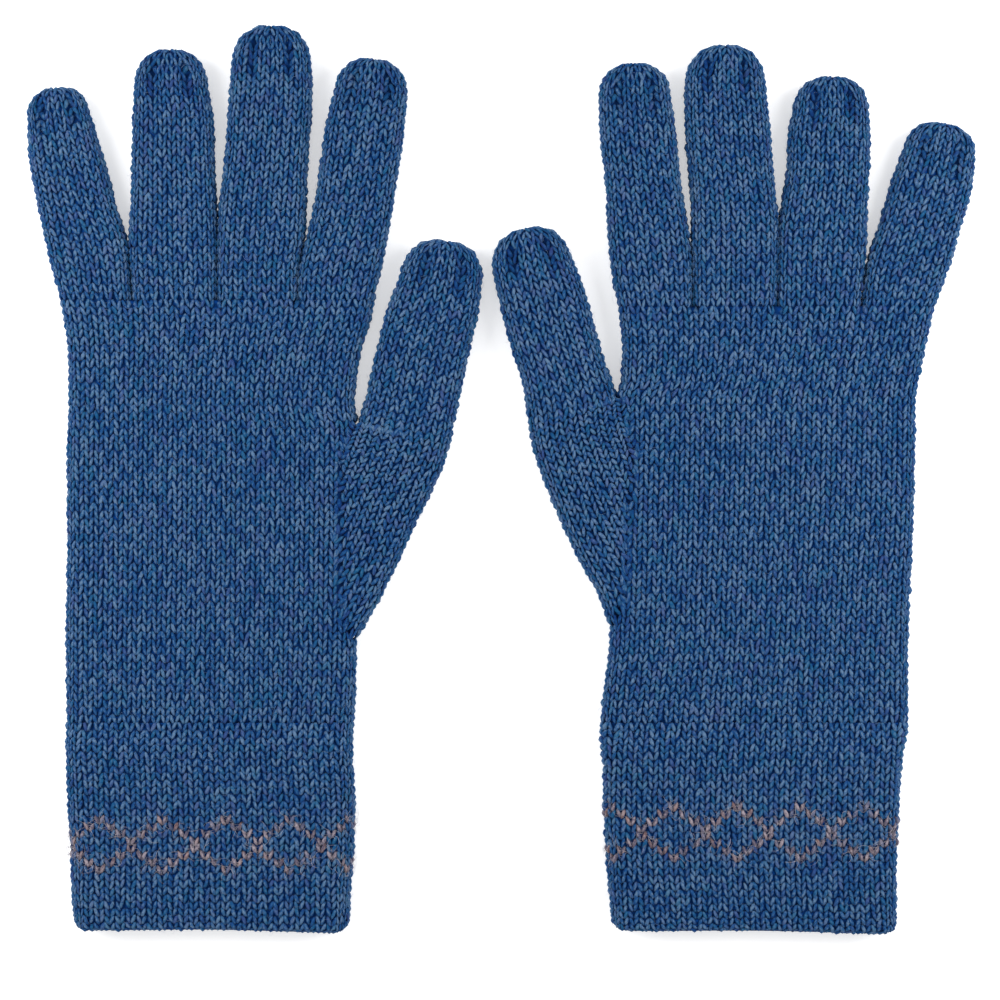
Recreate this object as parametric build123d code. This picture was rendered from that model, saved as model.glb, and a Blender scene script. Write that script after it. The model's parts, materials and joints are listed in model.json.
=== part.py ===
from build123d import *
import math
import os

os.makedirs("parts", exist_ok=True)

# A pair of knitted gloves lying flat, fingers towards +Y, fabric resting on Z = 0.
# All sizes are in millimetres. The right glove is drawn mirrored and turned over.

HAND_H = 8.6          # thickness of the flat glove: two walls and the space for the hand
HAND_WALL = 1.7       # thickness of one layer of stockinette
CUFF_H = 10.4         # the cuff has two layers on each side
CUFF_WALL = 1.5
HEM_WALL = 1.3        # the turned-in inner layer, knitted a little finer
LAYER_GAP = 0.15      # play between the two cuff layers
EDGE_R = 4.1          # rounding of the folded sides
SPLIT = 0.15          # half the play left at each bending line

SLIT = 1.0            # width of the gap between two fingers where they touch
HEM_END = 2.0         # the inner layer stops this far below the wrist line
SEAM_LOW, SEAM_HIGH = 1.6, 0.7    # the tacking stitches lie between these, below the wrist
FOLD_SETBACK = 0.8    # the inner layer starts this far above the cuff's lower edge

JOIN_R, JOIN_HOLE_R = 1.0, 1.15   # closing stitches at the finger crotches
JOIN_DROP = 2.3                   # from the crotch line to the middle of those stitches
JOIN_SHORT = 0.5                  # they stay this far inside both faces
GATHER_R, GATHER_HOLE_R = 1.0, 1.15
GATHER_LENGTH = 2.2               # drawn-through yarn closing a finger end

YARN_W = 2.0          # width of one stitch of the contrast yarn
YARN_DEEP = 0.7       # how deep the contrast stitches lie in the outer layer
YARN_PLAY = 0.1
MOTIF_EDGE = 6.0      # the contrast rows stop this far from the folded sides

# Each outline runs from the cuff's little-finger corner up and around to its thumb corner:
# (x, y, corner radius). A crotch is written as ("slit", x, y).
LEFT = {
    "name": "left",
    "mirror": 1,
    "outline": [
        (-119.6, -140.0, 0), (-121.6, -92.0, 40), (-122.0, -30.0, 90), (-121.9, 36.0, 60),
        (-124.6, 52.0, 30), (-129.6, 72.0, 60), (-133.8, 110.0, 7.6),
        (-118.4, 110.0, 7.6), (-105.4, 68.0, 40), ("slit", -103.7, 50.2),
        (-104.3, 72.0, 60), (-103.8, 121.3, 9.6), (-82.0, 121.3, 9.6), (-80.2, 90.0, 80),
        ("slit", -80.4, 50.2),
        (-79.0, 77.6, 80), (-75.8, 127.8, 10.2), (-53.0, 127.8, 10.2), (-54.2, 90.0, 80),
        ("slit", -55.8, 50.2),
        (-53.6, 72.0, 60), (-45.6, 118.5, 9.0), (-25.4, 118.5, 9.0), (-30.6, 80.0, 80),
        (-36.4, 49.0, 40), (-40.2, 34.0, 30), ("slit", -40.3, 16.6),
        (-36.1, 33.4, 60), (-26.6, 67.2, 9.4), (-4.4, 67.2, 9.4), (-7.2, 42.0, 60),
        (-13.6, 16.0, 80), (-21.4, -8.0, 80), (-39.2, -43.0, 20), (-41.3, -60.0, 20),
        (-41.2, -92.0, 60), (-43.2, -140.0, 0),
    ],
    "bottom": -127.1,
    "wrist": -68.3,
    "crotch": 50.4,
    "fingers": [("little", 81.0), ("ring", 87.0), ("middle", 90.0), ("index", 86.4)],
    "gathers": {
        "little": (-126.1, 110.0), "ring": (-92.9, 121.3), "middle": (-64.4, 127.8),
        "index": (-35.5, 118.5), "thumb": (-15.5, 67.2),
    },
    "thumb": 15.6,
    "thumb_mid": 42.4,
    # line between the palm and the thumb's side, from below the gusset to above the thumb
    "thumb_side": [
        (-40.9, -47.0), (-44.4, 10.6), (-40.3, 14.8), (-40.3, 17.6), (-38.1, 33.4),
        (-34.1, 50.0), (-30.0, 64.0), (-24.0, 80.0),
    ],
    "motif": {"first": -114.8, "pitch": 17.9, "peaks": 5, "top": -94.6, "low": -109.8},
}

RIGHT = {
    "name": "right",
    "mirror": -1,
    "outline": [
        (-111.0, -140.0, 0), (-112.2, -92.0, 60), (-115.0, -64.0, 40), (-116.6, -10.0, 90),
        (-116.8, 22.0, 60), (-122.4, 48.0, 30), (-127.4, 62.0, 60), (-134.6, 101.0, 8.6),
        (-115.2, 101.0, 8.6), (-107.0, 72.0, 40), ("slit", -101.9, 48.4),
        (-103.9, 72.0, 60), (-103.2, 113.7, 9.6), (-81.2, 113.7, 9.6), (-79.8, 80.0, 80),
        ("slit", -78.8, 48.4),
        (-77.4, 73.0, 80), (-74.2, 122.4, 10.2), (-51.4, 122.4, 10.2), (-53.4, 82.0, 80),
        ("slit", -56.1, 48.4),
        (-53.6, 65.5, 60), (-48.4, 117.4, 9.0), (-27.0, 117.4, 9.0), (-30.2, 80.0, 80),
        (-31.2, 60.0, 40), (-34.3, 44.0, 30), ("slit", -32.6, 23.8),
        (-26.8, 42.7, 60), (-18.0, 71.4, 9.2), (3.4, 71.4, 9.2), (-0.6, 46.1, 60),
        (-8.6, 14.0, 80), (-15.8, -8.6, 80), (-30.4, -38.6, 20), (-29.9, -48.0, 20),
        (-27.8, -70.0, 60), (-28.4, -92.0, 60), (-32.0, -140.0, 0),
    ],
    "bottom": -127.8,
    "wrist": -68.3,
    "crotch": 48.6,
    "fingers": [("little", 76.0), ("ring", 82.0), ("middle", 86.0), ("index", 84.4)],
    "gathers": {
        "little": (-124.9, 101.0), "ring": (-92.2, 113.7), "middle": (-62.8, 122.4),
        "index": (-37.7, 117.4), "thumb": (-7.3, 71.4),
    },
    "thumb": 22.8,
    "thumb_mid": 48.4,
    "thumb_side": [
        (-32.6, -44.0), (-36.2, 18.0), (-32.6, 22.0), (-32.6, 25.4), (-29.6, 42.7),
        (-26.4, 56.0), (-23.0, 68.0), (-20.0, 84.0),
    ],
    "motif": {"first": -103.1, "pitch": 17.9, "peaks": 5, "top": -91.4, "low": -106.6},
}

FAR = 300.0           # reach of the cutting blocks


def corners(glove):
    """The outline with every crotch written as its two narrow corners."""
    points = []
    for p in glove["outline"]:
        if p[0] == "slit":
            half = SLIT / 2
            points += [(p[1] - half, p[2], half * 0.98), (p[1] + half, p[2], half * 0.98)]
        else:
            points.append(p)
    return points


def rounded_face(points):
    """A flat face through the corners, each rounded by its own radius."""
    edges, count = [], len(points)
    ends = []
    for i, (x, y, r) in enumerate(points):
        here = Vector(x, y)
        to_last = (Vector(*points[i - 1][:2]) - here).normalized()
        to_next = (Vector(*points[(i + 1) % count][:2]) - here).normalized()
        half = to_last.get_angle(to_next) / 2
        if r == 0 or half > 89.7:
            ends.append((here, here))
            continue
        back = r / math.tan(math.radians(half))
        middle = here + (to_last + to_next).normalized() * (r / math.sin(math.radians(half)) - r)
        start, end = here + to_last * back, here + to_next * back
        edges.append(ThreePointArc(start, middle, end))
        ends.append((start, end))
    for i in range(count):
        edges.append(Line(ends[i][1], ends[(i + 1) % count][0]))
    return make_face(Wire(edges))


def block(x0, x1, y0, y1):
    """A tall block over a rectangle of the plan."""
    return Pos((x0 + x1) / 2, (y0 + y1) / 2, 0) * Box(x1 - x0, y1 - y0, 100)


def cushion(plan, inset, height):
    """The flat plan pulled in by inset, made height - 2 * inset thick, its sides rounded."""
    shape = plan if inset == 0 else offset(plan, -inset, kind=Kind.INTERSECTION)
    thick = height - 2 * inset
    solid = Pos(0, 0, inset) * extrude(shape, thick)
    radius = min(EDGE_R, thick / 2 - 0.1)
    rims = [e for e in solid.edges() if abs(e.center().Z - inset) < 1e-3
            or abs(e.center().Z - inset - thick) < 1e-3]
    return fillet(rims, radius)


def tube(plan, inset, wall, height):
    """One layer of fabric: a closed cushion with a smaller one taken out."""
    return cushion(plan, inset, height) - cushion(plan, inset + wall, height)


def ordered(shape):
    """The separate solids of a cut, from the little-finger side to the thumb side."""
    return sorted(shape.solids(), key=lambda s: s.center().X)


def thumb_block(glove, grow):
    """A tall block over everything on the thumb's side of the dividing line."""
    line = [(x + grow, y) for x, y in glove["thumb_side"]]
    corner = [(FAR, line[-1][1]), (FAR, line[0][1])]
    return Pos(0, 0, -50) * extrude(make_face(Polyline(*line, *corner, close=True)), 100)


def hand_nodes(glove):
    """The palm, gusset, thumb and fingers, cut from one layer of fabric at the bends."""
    plan = rounded_face(corners(glove))
    shell = tube(plan, 0, HAND_WALL, HAND_H)
    wrist, crotch = glove["wrist"] + SPLIT, glove["crotch"]
    thumb, mid = glove["thumb"], glove["thumb_mid"]
    outside = thumb_block(glove, SPLIT)

    hand = shell & block(-FAR, FAR, wrist, crotch - SPLIT)
    hand = ordered(hand - thumb_block(glove, -SPLIT))[0]
    side = shell & outside
    nodes = {
        "hand": hand,
        "thumb_gusset": ordered(side & block(-FAR, FAR, wrist, thumb - SPLIT))[-1],
        "thumb_base": ordered(side & block(-FAR, FAR, thumb + SPLIT, mid - SPLIT))[-1],
        "thumb_tip": ordered(side & block(-FAR, FAR, mid + SPLIT, FAR))[-1],
    }
    for i, (name, bend) in enumerate(glove["fingers"]):
        base = shell & block(-FAR, FAR, crotch + SPLIT, bend - SPLIT)
        nodes[name + "_base"] = ordered(base)[i]
        tip = shell & block(-FAR, FAR, bend + SPLIT, FAR)
        middle = glove["gathers"][name][0]
        nodes[name + "_tip"] = min(ordered(tip), key=lambda s: abs(s.center().X - middle))
    return nodes


def add_gathers(glove, nodes):
    """The yarn drawn through the last stitches of each finger, in a hole in its end."""
    for name, (x, y) in glove["gathers"].items():
        place = Pos(x, y - GATHER_LENGTH / 2, HAND_H / 2) * Rot(90, 0, 0)
        plug = Cylinder(GATHER_R, GATHER_LENGTH)
        plug = fillet(plug.edges(), GATHER_R * 0.4)
        hole = Cylinder(GATHER_HOLE_R, GATHER_LENGTH * 3)
        nodes[name + "_tip"] = nodes[name + "_tip"] - place * hole
        nodes[name + "_gather"] = place * plug


def add_joins(glove, nodes):
    """The upright bundles of closing stitches just below the three finger crotches."""
    slits = [p for p in glove["outline"] if p[0] == "slit"][:3]
    names = [name for name, bend in glove["fingers"]]
    for i, slit in enumerate(slits):
        place = Pos(slit[1], glove["crotch"] - JOIN_DROP, HAND_H / 2)
        nodes["hand"] = nodes["hand"] - place * Cylinder(JOIN_HOLE_R, HAND_H * 2)
        pin = Cylinder(JOIN_R, HAND_H - 2 * JOIN_SHORT)
        nodes[f"join_{names[i]}_{names[i + 1]}"] = place * fillet(pin.edges(), JOIN_R * 0.4)


def zigzags(motif, low_x, high_x, grow):
    """Two crossing zigzag rows as flat strips, kept between the folded sides."""
    top, low, pitch = motif["top"], motif["low"], motif["pitch"]
    strips = None
    for k in range(-1, motif["peaks"]):
        x = motif["first"] + k * pitch
        for start, end in ((top, low), (low, top)):
            length = math.hypot(pitch, end - start) + YARN_W
            turn = math.degrees(math.atan2(end - start, pitch))
            strip = Pos(x + pitch / 2, (top + low) / 2) * Rot(0, 0, turn) * Rectangle(
                length, YARN_W + 2 * grow)
            strips = strip if strips is None else strips + strip
    window = Rectangle(high_x - low_x + 2 * grow, FAR)
    return strips & Pos((low_x + high_x) / 2, 0) * window


def cuff_nodes(glove):
    """The turned cuff: outer layer, inner layer, tacking stitches and contrast rows."""
    plan = rounded_face(corners(glove)) & Pos(0, -FAR / 2 - 20, 0) * Rectangle(FAR * 2, FAR)
    wrist, bottom = glove["wrist"], glove["bottom"]
    outer = tube(plan, 0, CUFF_WALL, CUFF_H) & block(-FAR, FAR, bottom, wrist - SPLIT)
    inner = tube(plan, CUFF_WALL + LAYER_GAP, HEM_WALL, CUFF_H)
    hem = inner & block(-FAR, FAR, bottom + FOLD_SETBACK, wrist - HEM_END)
    seam = inner & block(-FAR, FAR, wrist - SEAM_LOW, wrist - SEAM_HIGH)

    box = (outer & block(-FAR, FAR, glove["motif"]["low"], glove["motif"]["top"])).bounding_box()
    low_x, high_x = box.min.X + MOTIF_EDGE, box.max.X - MOTIF_EDGE
    yarn = zigzags(glove["motif"], low_x, high_x, 0)
    groove = zigzags(glove["motif"], low_x, high_x, YARN_PLAY)
    deep = YARN_DEEP + YARN_PLAY
    outer -= Pos(0, 0, CUFF_H - deep) * extrude(groove, 5)
    outer -= Pos(0, 0, deep - 5) * extrude(groove, 5)
    motif = Pos(0, 0, CUFF_H - YARN_DEEP) * extrude(yarn, YARN_DEEP)
    motif += extrude(yarn, YARN_DEEP)
    return {"cuff_outer": outer, "cuff_hem": hem, "hem_stitching": seam, "cuff_motif": motif}


def write(glove):
    """Every node of one glove, mirrored into place and written as its own file."""
    nodes = hand_nodes(glove)
    add_gathers(glove, nodes)
    add_joins(glove, nodes)
    nodes.update(cuff_nodes(glove))
    for name, shape in nodes.items():
        if glove["mirror"] < 0:
            shape = mirror(shape, about=Plane.YZ)
        export_step(Compound(children=shape.solids()), f"parts/{glove['name']}_{name}.step")


write(LEFT)
write(RIGHT)
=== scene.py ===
import json
import math

import bpy
import numpy as np
from mathutils import Vector
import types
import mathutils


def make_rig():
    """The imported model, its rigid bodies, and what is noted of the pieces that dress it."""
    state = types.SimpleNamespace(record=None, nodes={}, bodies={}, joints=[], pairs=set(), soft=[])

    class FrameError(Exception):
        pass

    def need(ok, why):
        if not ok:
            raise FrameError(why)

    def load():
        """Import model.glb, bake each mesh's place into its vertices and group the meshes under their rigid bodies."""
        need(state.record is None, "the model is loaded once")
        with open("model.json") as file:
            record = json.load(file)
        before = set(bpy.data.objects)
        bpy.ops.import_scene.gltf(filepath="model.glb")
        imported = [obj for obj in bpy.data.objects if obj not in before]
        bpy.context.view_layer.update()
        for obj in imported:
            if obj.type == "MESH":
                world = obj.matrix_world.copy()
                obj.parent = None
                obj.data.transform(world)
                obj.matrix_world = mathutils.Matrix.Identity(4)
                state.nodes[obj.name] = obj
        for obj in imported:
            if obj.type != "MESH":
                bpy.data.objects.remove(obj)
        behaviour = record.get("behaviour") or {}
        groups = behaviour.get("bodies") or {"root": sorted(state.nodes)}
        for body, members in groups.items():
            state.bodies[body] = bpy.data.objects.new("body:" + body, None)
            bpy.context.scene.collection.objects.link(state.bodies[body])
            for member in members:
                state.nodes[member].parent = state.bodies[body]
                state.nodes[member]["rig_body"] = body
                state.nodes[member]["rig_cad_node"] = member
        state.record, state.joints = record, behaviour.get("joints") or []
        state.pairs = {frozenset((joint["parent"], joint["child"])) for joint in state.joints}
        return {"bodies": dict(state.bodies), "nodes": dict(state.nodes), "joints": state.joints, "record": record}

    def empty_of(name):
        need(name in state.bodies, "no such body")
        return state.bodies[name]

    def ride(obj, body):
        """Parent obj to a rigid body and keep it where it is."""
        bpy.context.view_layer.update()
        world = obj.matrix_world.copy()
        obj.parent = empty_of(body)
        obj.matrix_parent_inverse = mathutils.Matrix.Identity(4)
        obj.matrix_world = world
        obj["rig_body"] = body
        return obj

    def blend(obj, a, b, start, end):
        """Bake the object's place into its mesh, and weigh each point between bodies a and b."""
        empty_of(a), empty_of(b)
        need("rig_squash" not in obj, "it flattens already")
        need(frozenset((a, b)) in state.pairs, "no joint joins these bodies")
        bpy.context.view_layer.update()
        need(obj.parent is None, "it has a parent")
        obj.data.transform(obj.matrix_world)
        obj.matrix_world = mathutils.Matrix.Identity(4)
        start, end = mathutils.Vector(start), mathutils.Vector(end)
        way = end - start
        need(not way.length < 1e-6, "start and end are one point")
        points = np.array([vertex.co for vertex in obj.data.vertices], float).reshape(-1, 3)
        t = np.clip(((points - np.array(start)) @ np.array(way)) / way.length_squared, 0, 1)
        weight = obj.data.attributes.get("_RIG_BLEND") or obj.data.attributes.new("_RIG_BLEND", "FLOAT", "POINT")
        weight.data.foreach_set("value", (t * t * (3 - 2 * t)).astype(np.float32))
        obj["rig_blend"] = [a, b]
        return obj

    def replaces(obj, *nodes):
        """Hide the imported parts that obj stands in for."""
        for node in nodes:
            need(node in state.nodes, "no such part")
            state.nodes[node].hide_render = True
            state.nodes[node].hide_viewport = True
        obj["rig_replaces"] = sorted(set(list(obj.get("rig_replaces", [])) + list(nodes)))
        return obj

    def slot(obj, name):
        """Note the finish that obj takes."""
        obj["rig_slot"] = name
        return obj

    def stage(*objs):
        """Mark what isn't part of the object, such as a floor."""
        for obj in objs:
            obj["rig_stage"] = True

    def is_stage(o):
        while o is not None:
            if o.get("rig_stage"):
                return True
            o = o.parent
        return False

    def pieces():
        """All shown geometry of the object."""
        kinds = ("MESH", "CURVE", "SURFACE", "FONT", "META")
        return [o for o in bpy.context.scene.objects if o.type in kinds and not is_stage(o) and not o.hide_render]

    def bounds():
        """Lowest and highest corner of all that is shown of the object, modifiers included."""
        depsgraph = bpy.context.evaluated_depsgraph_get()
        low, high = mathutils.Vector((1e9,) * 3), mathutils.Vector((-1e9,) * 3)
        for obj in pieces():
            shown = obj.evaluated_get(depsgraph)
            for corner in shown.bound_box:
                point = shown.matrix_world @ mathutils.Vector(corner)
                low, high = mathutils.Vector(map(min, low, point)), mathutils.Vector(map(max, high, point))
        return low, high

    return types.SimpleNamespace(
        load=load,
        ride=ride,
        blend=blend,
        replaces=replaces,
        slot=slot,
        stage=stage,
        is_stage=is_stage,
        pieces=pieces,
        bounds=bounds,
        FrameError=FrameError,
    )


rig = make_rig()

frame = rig.load()

bl_info = {
    "name": "Knitted Gloves",
    "version": (1, 0, 0),
    "blender": (4, 5, 0),
    "location": "View3D > Sidebar > Gloves",
    "description": "A pair of heathered stockinette gloves, knitted stitch by stitch",
    "category": "Add Mesh",
}

MM = 0.001
FINGERS = ("little", "ring", "middle", "index")
HAND_HALF = 4.3        # half the thickness of the flat hand, mm
CUFF_HALF = 5.2        # half the thickness of the doubled cuff
FOLD = 0.72            # a fold is this much narrower than a half circle
QUARTER = math.pi / 2 * math.sqrt((1 + FOLD ** 2) / 2)  # half a fold's length for its height
TUCK = 0.68            # the yarn's middle line lies this far under the outer face
BACKING = (1.05, 1.6)  # depth of the outer and inner side of the web behind the yarn
TURN = 1.3             # radius of the cuff's turned lower edge
HAND_STITCHES, CUFF_STITCHES = 64, 60
ROOT_BEND = 17.0       # length of fabric that takes part in a bend at a root
MIDDLE_BEND = 14.0
WRIST_BEND = 16.0
FINGER_ROW = 2.11      # height of a row in the fingers and the thumb
CREASE = (0.8, 1.2)    # depth and spread of the crease along the gusset line
GROOVES = 1.6          # depth of the two grooves below a finger's end
GROOVE_PLACES, GROOVE_SPREAD = (0.31, 0.69), 0.055  # shares of the way round
CAP_END = math.radians(86.5)  # the rounded end closes short of a quarter turn
CORNER, CORNER_REACH = 2.0, 3.4  # rounding of the cuff's lower corners: height and length
EDGE_BOW, EDGE_ROWS = 0.55, 5  # rise of the lower edge's middle, and rows that follow it
PAST_TURN = math.radians(44)  # how far the turned edge runs on underneath
TURN_INSET = 0.7       # how much the turned edge draws in at the sides
CUFF_PITCH = 2.95      # width of a stitch on the cuff's flat face
HEM_INSET, TACK_INSET = 2.95, 2.6  # how far the hem and its tacking lie inside the cuff
# the gusset's web lies deeper, where it overlaps the hand's, and the hem's faces inwards
GUSSET_BACKING, HEM_BACKING = (1.25, 1.75), (-0.95, -1.3)
STITCH_MARGIN, WEB_MARGIN = 0.009, 0.006  # shares by which the hand passes the gusset line
STITCH_SHADE, WEB_SHADE = 0.65, 0.5  # how much painted shade darkens the stitches and the web in the hollows
WEB_STITCH = 2.7       # width of one wale of the web's pattern

# Edges of each glove in millimetres, drawn with the little finger on the left and the thumb
# on the right; the second glove is mirrored. Points run from the cuff towards the tips.
GLOVES = {
    "left": {
        "mirror": 1,
        "wrist": -68.3,
        "crotch": 50.4,
        "outer_side": [
            (-120.3, -126.5), (-121.0, -116.0), (-121.5, -102.0), (-122.3, -86.0),
            (-122.6, -76.0), (-122.6, -66.0), (-122.7, -45.0), (-122.4, -20.0),
            (-122.4, 8.0), (-122.0, 30.0), (-122.8, 42.0), (-124.4, 50.4),
        ],
        "thumb_side_low": [
            (-42.6, -127.3), (-42.0, -116.0), (-41.2, -102.0), (-41.0, -86.0),
            (-41.6, -76.0), (-40.9, -62.0), (-40.6, -52.0), (-40.4, -44.0),
        ],
        "thumb_side_high": [
            (-39.8, 14.6), (-40.2, 16.8), (-40.9, 20.0), (-40.7, 26.0), (-39.2, 36.0),
            (-35.9, 48.0), (-35.6, 50.4),
        ],
        "gusset_line": [
            (-41.2, -44.5), (-44.2, -40.0), (-45.2, -32.0), (-45.1, -16.0), (-44.9, 2.0),
            (-44.2, 10.0), (-40.5, 16.4),
        ],
        "gusset_edge": [
            (-40.0, -44.5), (-33.7, -33.2), (-28.0, -21.9), (-24.2, -13.2), (-19.6, -4.0),
            (-16.2, 3.6), (-14.2, 9.6),
        ],
        "slits": [(-103.7, 50.4), (-79.9, 50.4), (-57.0, 50.4)],
        "little": {
            "left": [
                (-124.4, 50.4), (-127.2, 61.0), (-129.8, 73.0), (-133.3, 92.0), (-133.6, 101.4),
            ],
            "right": [
                (-103.4, 50.4), (-104.6, 66.0), (-108.2, 77.5), (-111.1, 88.5), (-115.9, 104.2),
            ],
            "cap": 7.7, "bend": 81.0,
        },
        "ring": {
            "left": [
                (-104.0, 50.4), (-105.0, 66.0), (-104.4, 80.0), (-104.0, 98.0), (-103.6, 110.3),
            ],
            "right": [
                (-79.3, 50.4), (-79.5, 71.0), (-79.9, 79.0), (-80.5, 90.0), (-81.1, 104.0),
                (-82.4, 110.7),
            ],
            "cap": 10.8, "bend": 87.0,
        },
        "middle": {
            "left": [
                (-80.4, 50.4), (-80.2, 71.0), (-79.5, 79.0), (-78.3, 88.0), (-77.0, 107.0),
                (-76.2, 116.4),
            ],
            "right": [
                (-56.4, 50.4), (-56.4, 58.0), (-55.1, 67.0), (-54.8, 73.0), (-54.0, 92.0),
                (-53.0, 108.0), (-53.2, 116.4),
            ],
            "cap": 11.5, "bend": 90.0,
        },
        "index": {
            "left": [
                (-57.6, 50.4), (-57.6, 58.0), (-55.7, 66.0), (-53.9, 73.0), (-52.4, 80.0),
                (-51.0, 90.0), (-49.0, 103.0), (-47.3, 109.2),
            ],
            "right": [
                (-35.6, 50.4), (-33.0, 61.6), (-29.2, 84.0), (-27.0, 100.0), (-26.2, 107.2),
            ],
            "cap": 10.5, "bend": 86.4,
        },
        "thumb": {
            "left": [
                (-41.0, 14.4), (-40.2, 17.0), (-38.9, 21.0), (-37.5, 27.2), (-35.0, 38.0),
                (-31.8, 49.5), (-28.2, 58.8),
            ],
            "right": [(-14.2, 9.6), (-11.8, 21.5), (-8.9, 35.4), (-6.1, 48.0), (-5.2, 55.0)],
            "cap": 10.6, "bend": 42.4, "root": 15.6,
        },
        "peak": 4, "middle_row": 13,
    },
    "right": {
        "mirror": -1,
        "wrist": -68.3,
        "crotch": 48.6,
        "outer_side": [
            (-111.4, -127.5), (-111.4, -112.0), (-111.9, -94.0), (-112.8, -80.0),
            (-114.7, -68.0), (-114.7, -54.0), (-115.2, -34.0), (-116.4, -10.0),
            (-116.8, 10.0), (-117.2, 24.0), (-119.9, 38.0), (-122.3, 48.6),
        ],
        "thumb_side_low": [
            (-31.0, -126.6), (-29.9, -112.0), (-28.7, -94.0), (-28.5, -80.0),
            (-27.9, -68.0), (-29.2, -56.0), (-30.2, -48.0), (-30.6, -40.6),
        ],
        "thumb_side_high": [
            (-31.8, 21.6), (-32.2, 24.0), (-33.4, 26.8), (-33.8, 31.0), (-33.9, 40.0),
            (-33.2, 46.0), (-32.8, 48.6),
        ],
        "gusset_line": [
            (-31.8, -41.0), (-35.0, -31.0), (-35.8, -14.0), (-35.9, 16.0), (-32.6, 23.2),
        ],
        "gusset_edge": [
            (-30.2, -41.0), (-27.1, -32.6), (-21.9, -23.4), (-16.9, -12.6), (-12.7, -2.6),
            (-9.1, 7.4), (-7.6, 15.0),
        ],
        "slits": [(-101.2, 48.6), (-77.6, 48.6), (-53.9, 48.6)],
        "little": {
            "left": [
                (-122.3, 48.6), (-126.2, 58.8), (-129.4, 70.0), (-133.0, 83.0), (-133.6, 89.6),
            ],
            "right": [
                (-101.0, 48.6), (-102.3, 59.5), (-106.6, 73.0), (-110.4, 86.0), (-113.4, 94.3),
            ],
            "cap": 8.6, "bend": 76.0,
        },
        "ring": {
            "left": [
                (-101.4, 48.6), (-102.7, 59.5), (-103.5, 78.0), (-104.2, 94.0), (-103.9, 102.9),
            ],
            "right": [(-77.2, 48.6), (-77.7, 71.0), (-80.2, 87.0), (-80.7, 98.0), (-81.9, 103.1)],
            "cap": 10.7, "bend": 82.0,
        },
        "middle": {
            "left": [(-78.0, 48.6), (-78.5, 71.0), (-77.0, 86.0), (-75.7, 102.0), (-74.7, 111.0)],
            "right": [(-53.4, 48.6), (-53.2, 63.0), (-53.1, 79.0), (-51.7, 97.0), (-51.5, 111.3)],
            "cap": 11.3, "bend": 86.0,
        },
        "index": {
            "left": [(-54.3, 48.6), (-54.0, 63.0), (-50.9, 84.0), (-49.1, 101.0), (-48.1, 108.0)],
            "right": [(-32.8, 48.6), (-30.5, 61.6), (-29.3, 82.0), (-27.6, 99.0), (-27.3, 106.8)],
            "cap": 10.0, "bend": 84.4,
        },
        "thumb": {
            "left": [
                (-33.4, 21.6), (-32.7, 24.4), (-31.3, 28.2), (-29.2, 33.8), (-26.6, 42.9),
                (-23.8, 53.4), (-20.2, 62.4),
            ],
            "right": [(-7.6, 15.0), (-5.7, 27.6), (-2.1, 38.6), (0.2, 47.6), (2.4, 57.4)],
            "cap": 11.2, "bend": 48.4, "root": 22.8,
        },
        "peak": 4, "middle_row": 15,
    },
}


# ---------------------------------------------------------------- shapes of the fabric

def flowing(points, count):
    """Evenly spaced points on a smooth line through the given ones: cubic pieces whose
    slopes are the chord slopes of the neighbours, measured along the chord length."""
    p = np.array(points, float)
    t = np.concatenate([[0], np.cumsum(np.hypot(*np.diff(p, axis=0).T))])
    slope = np.gradient(p, t, axis=0)
    u = np.linspace(0, t[-1], count)
    k = np.clip(np.searchsorted(t, u, side="right") - 1, 0, len(t) - 2)
    h = (t[k + 1] - t[k])[:, None]
    f = ((u - t[k]) / (t[k + 1] - t[k]))[:, None]
    return ((1 + 2 * f) * (1 - f) ** 2 * p[k] + f * (1 - f) ** 2 * h * slope[k]
            + f * f * (3 - 2 * f) * p[k + 1] + f * f * (f - 1) * h * slope[k + 1])


def ease(x):
    """0 below 0, 1 above 1 and a smooth S between."""
    x = np.clip(x, 0, 1)
    return x * x * (3 - 2 * x)


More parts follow.
